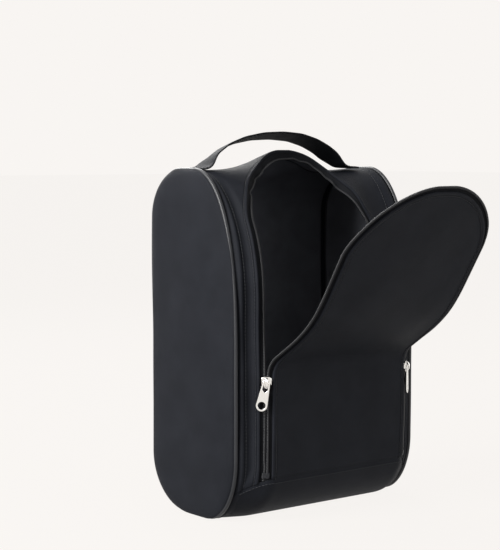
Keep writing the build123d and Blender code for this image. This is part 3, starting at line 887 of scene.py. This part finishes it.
edgeAt = flap["half"] - flap["gap"]
hemSteps = np.array([*hem["steps"], 10.0])
flapTape = {
    "offsets": (-12.0, -9.0, -6.0, -4.4, -2.8, -0.9), "depth": 1.5, "coil": -1.3, "coil depth": 0.9,
    "stitches": -10.6, "stitch lift": 0.1}
for bend in bends:
    s0, s1 = bend["s"]
    name = bend["name"]
    last = bend is bends[-1]
    tapes, coilParts, threads = [], [], []
    if last:
        chordL, chordS = flapArch(-flap["gap"] - hemSteps[-1])
        chord = np.full(len(chordL), s0)
        rows = [(chordL, chord + (chordS - chord) * share, None) for share in np.linspace(0, 1, bend["rows"])]
        for e in hemSteps[::-1][1:]:
            archL, archS = flapArch(-flap["gap"] - e)
            rows.append((archL, archS, e))
        l = np.stack([row[0] for row in rows])
        s = np.stack([row[1] for row in rows])
        lift = np.stack([np.zeros(len(l[0])) + (0 if row[2] is None else hemHeight(row[2])) for row in rows])
        points, normals = flapSkin(l, s, lift + flapDrape(l, s))
        panelParts = clothParts(points, normals, np.stack([l, s], -1), bag["cloth"], bend["rims"])
        tapeRows = []
        for o in flapTape["offsets"]:
            archL, archS = flapArch(o)
            tapeRows.append(flapSkin(archL, archS, -flapTape["depth"]))
        tapes += tapeParts(*[np.stack([row[k] for row in tapeRows]) for k in range(2)], True)
        coilParts.append(coilPart(*flapSkin(*flapArch(flapTape["coil"]), -flapTape["coil depth"])))
        threads += stitchParts(*flapSkin(*flapArch(flapTape["stitches"]), flapTape["stitch lift"]))
    else:
        inner = np.linspace(-(edgeAt - 10), edgeAt - 10, 47)[1:-1]
        cross = np.concatenate([-(edgeAt - hemSteps), inner, (edgeAt - hemSteps)[::-1]])
        l, s = np.meshgrid(cross, np.linspace(s0, s1, bend["rows"]))
        lift = hemHeight(edgeAt - np.abs(l)) + flapDrape(l, s)
        if bend is bends[0]:
            lift = lift + crossSeamRelief(s - s0)
        points, normals = flapSkin(l, s, lift)
        panelParts = clothParts(points, normals, np.stack([l, s], -1), bag["cloth"], bend["rims"])
        line = np.linspace(s0, s1, bend["rows"] * 2)
        for sign in (-1, 1):
            spread = sign * (flap["half"] + np.array(flapTape["offsets"]))
            l, s = np.meshgrid(spread, line)
            tapes += tapeParts(*flapSkin(l, s, -flapTape["depth"]), False)
            coilAt, sewnAt = [0 * line + sign * (flap["half"] + flapTape[k]) for k in ("coil", "stitches")]
            coilParts.append(coilPart(*flapSkin(coilAt, line, -flapTape["coil depth"])))
            threads += stitchParts(*flapSkin(sewnAt, line, flapTape["stitch lift"]))
    panel = meshPiece(name + "_cloth", panelParts, [outerFabric, painted_light_lining])
    flapPiece(panel, bend, "outer_fabric", *bend["nodes"])
    tape = meshPiece("zip_tape_%s_cloth" % name, tapes, [tapeCloth])
    flapPiece(tape, bend, "zip_tape", *["zip_tape_" + end for end in bend["zips"]])
    coil = meshPiece("zip_coil_%s_teeth" % name, coilParts, [coilPlastic])
    flapPiece(coil, bend, "zip_coil", *["zip_coil_" + end for end in bend["zips"]])
    seam = meshPiece("%s_topstitching" % name, threads, [thread])
    flapPiece(seam, bend, "outer_fabric")

print("zip hardware")
slider = {
    "z": 139.0, "y": -83.58, "pin out": 2.6, "length": 12.0, "width": 10.0, "wing": 1.5, "wing bevel": 0.5,
    "wing out": 0.85, "corner": 2.6, "tail": 2.4, "nose": (3.2, 0, -1.5), "back share": 0.92, "back": 1.1,
    "back bevel": 0.35, "back out": -2.95, "crown half": 4.1, "crown out": 1.3, "crown rise": 3.3,
    "crown power": 0.7, "crown girth": (0.7, 1.35), "post": ((1.4, 3.0, 3.0), (0, 3.4, -1.0)),
    "rim": (1.0, 6.0, 2.2), "rim at": (4.3, 0.6, -0.4), "sharp": 38.0}
pull = {
    "length": 28.0, "top": 7.2, "foot": 11.0, "thickness": 1.3, "hole": 3.7, "bevel": 0.4,
    "tilt": {"left": 12.0, "right": 3.0}, "corner": 1.6, "corner up": -0.4, "shoulder": 1.9,
    "shoulder up": -6.5,
    "window": ((0.5, -1.5, -1.2), (0.5, 1.5, -1.2), (0.9, -1.7, -7.0), (0.9, 1.7, -7.0), (0.8, 0, -8.8))}


# A flat plate from closed outlines (the first solid, the rest holes), with rounded rims, as points and faces.
def platePart(outlines, thickness, bevel):
    curve = bpy.data.curves.new("outline", "CURVE")
    curve.dimensions = "2D"
    curve.fill_mode = "BOTH"
    curve.extrude = thickness / 2 - bevel
    curve.bevel_depth = bevel
    curve.bevel_resolution = 2
    curve.offset = -bevel
    for outline in outlines:
        spline = curve.splines.new("POLY")
        spline.points.add(len(outline) - 1)
        flat = np.column_stack([outline, np.zeros(len(outline)), np.ones(len(outline))])
        spline.points.foreach_set("co", flat.astype(np.float32).ravel())
        spline.use_cyclic_u = True
    holder = bpy.data.objects.new("outline", curve)
    bpy.context.collection.objects.link(holder)
    bpy.context.view_layer.update()
    mesh = bpy.data.meshes.new_from_object(holder.evaluated_get(bpy.context.evaluated_depsgraph_get()))
    bpy.data.objects.remove(holder)
    work = bmesh.new()
    work.from_mesh(mesh)
    bmesh.ops.remove_doubles(work, verts=work.verts, dist=0.01)
    bmesh.ops.recalc_face_normals(work, faces=work.faces)
    return work


def roundedBox(size, centre, bevel):
    work = bmesh.new()
    bmesh.ops.create_cube(work, size=1.0)
    bmesh.ops.scale(work, vec=size, verts=work.verts)
    bmesh.ops.bevel(work, geom=work.edges[:], offset=bevel, segments=3, profile=0.5, affect="EDGES")
    bmesh.ops.translate(work, vec=centre, verts=work.verts)
    return work


def bentTube(path, radiusX, radiusY):
    path = np.array(path, float)
    part = carried(path, np.tile([1.0, 0, 0], (len(path), 1)), ringSection(radiusX, radiusY, 12))
    work = bmesh.new()
    made = [work.verts.new(p) for p in part["points"].reshape(-1, 3)]
    rows, cols = part["points"].shape[:2]
    faces = gridFaces(rows, cols, 0, False, True, part["flip"]) + endFaces(rows, cols, 0, part["flip"])
    for face in faces:
        work.faces.new([made[k] for k in face])
    return work


# Metal parts drawn in the zip's own frame: across the zip, up, outwards. sign -1 is the left zip.
def metalPiece(name, works, sign, turn, out):
    mesh = bpy.data.meshes.new(name)
    merged = bmesh.new()
    for work in works:
        part = bpy.data.meshes.new("part")
        work.to_mesh(part)
        work.free()
        merged.from_mesh(part)
        bpy.data.meshes.remove(part)
    tilt = math.radians(turn)
    for vertex in merged.verts:
        across, up, outward = vertex.co
        sine, cosine = math.sin(tilt), math.cos(tilt)
        across, up = across * cosine - up * sine, across * sine + up * cosine
        outward += out
        vertex.co = (
            sign * (zipper["half"] + across * alongX + outward * alongY) * mm,
            (slider["y"] + across * alongY - outward * alongX) * mm,
            (slider["z"] + up) * mm)
    bmesh.ops.recalc_face_normals(merged, faces=merged.faces)
    merged.to_mesh(mesh)
    merged.free()
    mesh.shade_smooth()
    mesh.set_sharp_from_angle(angle=math.radians(slider["sharp"]))
    mesh.materials.append(nickel)
    piece = bpy.data.objects.new(name, mesh)
    bpy.context.collection.objects.link(piece)
    return piece


def circle(radius, x, y, count=40, start=0.0):
    angle = start + np.arange(count) * 2 * math.pi / count
    return np.stack([x + radius * np.cos(angle), y + radius * np.sin(angle)], -1)


# Outline around a list of circles, taken as their convex hull at even angles.
def hullOutline(circles, count=96):
    angle = np.arange(count) * 2 * math.pi / count
    direction = np.stack([np.cos(angle), np.sin(angle)], -1)
    reach = np.stack([direction @ np.array([x, y]) + radius for radius, x, y in circles])
    best = reach.argmax(0)
    centres = np.array([[x, y] for radius, x, y in circles])[best]
    radii = np.array([radius for radius, x, y in circles])[best]
    return centres + direction * radii[:, None]


for side, sign in (("left", -1), ("right", 1)):
    corner = slider["corner"]
    corners = [(corner, end * (slider["width"] / 2 - corner), corner) for end in (-1, 1)]
    tail = (slider["tail"], 0, slider["tail"] - slider["length"] / 2)
    wing = hullOutline([*corners, tail, slider["nose"]])
    top = platePart([wing], slider["wing"], slider["wing bevel"])
    bmesh.ops.translate(top, vec=(0, 0, slider["wing out"]), verts=top.verts)
    bottom = platePart([wing * slider["back share"]], slider["back"], slider["back bevel"])
    bmesh.ops.translate(bottom, vec=(0, 0, slider["back out"]), verts=bottom.verts)
    arc = np.linspace(0, math.pi, 17)
    crownUp = slider["crown half"] * np.cos(arc)
    crownOut = slider["crown out"] + slider["crown rise"] * np.sin(arc) ** slider["crown power"]
    crown = bentTube(np.stack([0 * arc, crownUp, crownOut], -1), *slider["crown girth"])
    post = roundedBox(*slider["post"], 0.4)
    rimX, rimY, rimZ = slider["rim at"]
    rims = [roundedBox(slider["rim"], (end * rimX, rimY, rimZ), slider["back bevel"]) for end in (-1, 1)]
    body = metalPiece("slider_%s_metal" % side, [top, bottom, crown, post, *rims], sign, 0, 0)
    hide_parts("slider_" + side)
    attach(body, "slider_" + side)

    foot = -pull["length"] + pull["foot"] / 2
    half = pull["top"] / 2 - pull["corner"]
    outline = [(pull["corner"], end * half, pull["corner up"]) for end in (-1, 1)]
    outline += [(pull["shoulder"], end * half, pull["shoulder up"]) for end in (-1, 1)]
    shape = hullOutline([*outline, (pull["foot"] / 2, 0, foot)])
    holes = [hullOutline(pull["window"], 48)[::-1], circle(pull["hole"], 0, foot)[::-1]]
    tab = platePart([shape, *holes], pull["thickness"], pull["bevel"])
    piece = metalPiece("pull_tab_%s_metal" % side, [tab], sign, pull["tilt"][side], slider["pin out"])
    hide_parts("pull_tab_" + side)
    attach(piece, "pull_" + side)

# bar tacks across the ends of the zip
tackSizes = {"half": 3.8, "z": 49.0, "pitch": 0.55, "count": 9, "lift": 0.1, "radius": 0.3}
tacks = []
for sign in (-1, 1):
    for k in range(tackSizes["count"]):
        x = sign * (zipper["half"] + np.linspace(-tackSizes["half"], tackSizes["half"], 9) * alongX)
        z = tackSizes["z"] + (k - (tackSizes["count"] - 1) / 2) * tackSizes["pitch"] + 0 * x
        path, normals = skin(x, frontTurnAt(x, z), tackSizes["lift"])
        tacks.append(carried(path, normals, ringSection(tackSizes["radius"], tackSizes["radius"], 6)))
stops = meshPiece("zip_stop_tacks", tacks, [thread])
shellPiece(stops, "zip_coil", "zip_stops")

print("handle")
handle = {
    "width": 25.0, "thick": 1.9, "roll": -16.0, "roll over": (343.0, 12.0), "settle": 24,
    "lean over": (343.5, 356.0), "box x": ((-111.0, -103.5), (80.0, 90.0)), "box half": 10.2,
    "course": [(-112.5, 340.6), (-107, 341.0), (-103, 341.6), (-99.5, 345.0), (-92, 352.8), (-77, 362.4),
               (-58, 368.9), (-35, 372.8), (-10, 373.8), (14, 372.0), (34, 366.8), (50, 359.8), (62, 352.2),
               (70.5, 345.6),
               (76, 342.2), (82, 341.2), (92, 340.9)]}
course = np.array([(x, 0.0, z) for x, z in handle["course"]])
path = evenSteps(course, np.tile([0.0, 0, 1.0], (len(course), 1)), 1.0)[0]
for repeat in range(handle["settle"]):
    path[1:-1] = (path[:-2] + 2 * path[1:-1] + path[2:]) / 4
along = unit(np.gradient(path, axis=0))
# between its feet the loop turns its inner face a little to the front
roll = np.radians(handle["roll"]) * rise(path[:, 2], *handle["roll over"])
normals = np.stack([-along[:, 2] * np.cos(roll), -np.sin(roll), along[:, 0] * np.cos(roll)], -1)
strapSection = stripSection(handle["width"], handle["thick"])
strap = meshPiece("handle_strap_webbing", [carried(path, normals, strapSection)], [webbing])
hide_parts("handle_strap", "handle_anchor_left", "handle_anchor_right")
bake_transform(strap)
boxes = []
half = handle["box half"]
for x0, x1 in handle["box x"]:
    corners = np.array([[x0, -half], [x1, -half], [x1, half], [x0, half], [x0, -half], [x1, half]])
    for first, second in zip(corners, corners[1:]):
        share = np.linspace(0, 1, 12)[:, None]
        flat = first + (second - first) * share
        z = np.interp(flat[:, 0], path[:, 0], path[:, 2]) + handle["thick"] / 2
        line = np.column_stack([flat, z])
        boxes += stitchParts(line, np.tile([0.0, 0, 1.0], (12, 1)))
sewn = meshPiece("handle_box_stitching", boxes, [thread])
shellPiece(sewn, "webbing")

print("camera and light")


def aimed(thing, place, target):
    thing.location = Vector(place) * mm
    thing.rotation_mode = "QUATERNION"
    thing.rotation_quaternion = (Vector(target) * mm - thing.location).to_track_quat("-Z", "Y")
    bpy.context.collection.objects.link(thing)


view = {"place": (-1021.4, -1217.3, 356.7), "target": (-22.0, 28.0, 231.0), "lens": 101.9}
camera = bpy.data.objects.new("camera", bpy.data.cameras.new("camera"))
camera.data.lens = view["lens"]
camera.data.clip_end = 50
aimed(camera, view["place"], view["target"])
bpy.context.scene.camera = camera

lamps = {
    "key": {"place": (-1600, 0, 1150), "size": 900, "power": 100, "color": (1.0, 0.99, 0.97)},
    "fill": {"place": (900, -1500, 700), "size": 1200, "power": 10, "color": (0.96, 0.98, 1.0)},
    "rim": {"place": (300, 1300, 1400), "size": 900, "power": 40, "color": (1.0, 1.0, 1.0)}}
for name, lamp in lamps.items():
    data = bpy.data.lights.new(name, "AREA")
    data.size = lamp["size"] * mm
    data.energy = lamp["power"]
    data.color = lamp["color"]
    light = bpy.data.objects.new(name, data)
    aimed(light, lamp["place"], (0, 0, 170))

paper = (0.94, 0.913, 0.888)
world = bpy.data.worlds.new("studio")
world.use_nodes = True
world.node_tree.nodes["Background"].inputs[0].default_value = (*paper, 1)
world.node_tree.nodes["Background"].inputs[1].default_value = 1.0
bpy.context.scene.world = world
floorLook = {"reach": 20, "color": (0.012, 0.0117, 0.0113), "roughness": 0.9, "glow": 0.965}
floorMaterial, floorShader = newMaterial("floor", floorLook["roughness"], 0.0, 0.0)
floorShader.inputs["Base Color"].default_value = (*floorLook["color"], 1)
floorShader.inputs["Emission Color"].default_value = (*paper, 1)
floorShader.inputs["Emission Strength"].default_value = floorLook["glow"]
floor = bpy.data.objects.new("floor", bpy.data.meshes.new("floor"))
far = floorLook["reach"]
floor.data.from_pydata([(-far, -far, 0), (far, -far, 0), (far, far, 0), (-far, far, 0)], [], [(0, 1, 2, 3)])
floor.data.materials.append(floorMaterial)
bpy.context.collection.objects.link(floor)
bpy.context.scene.view_settings.view_transform = "Standard"
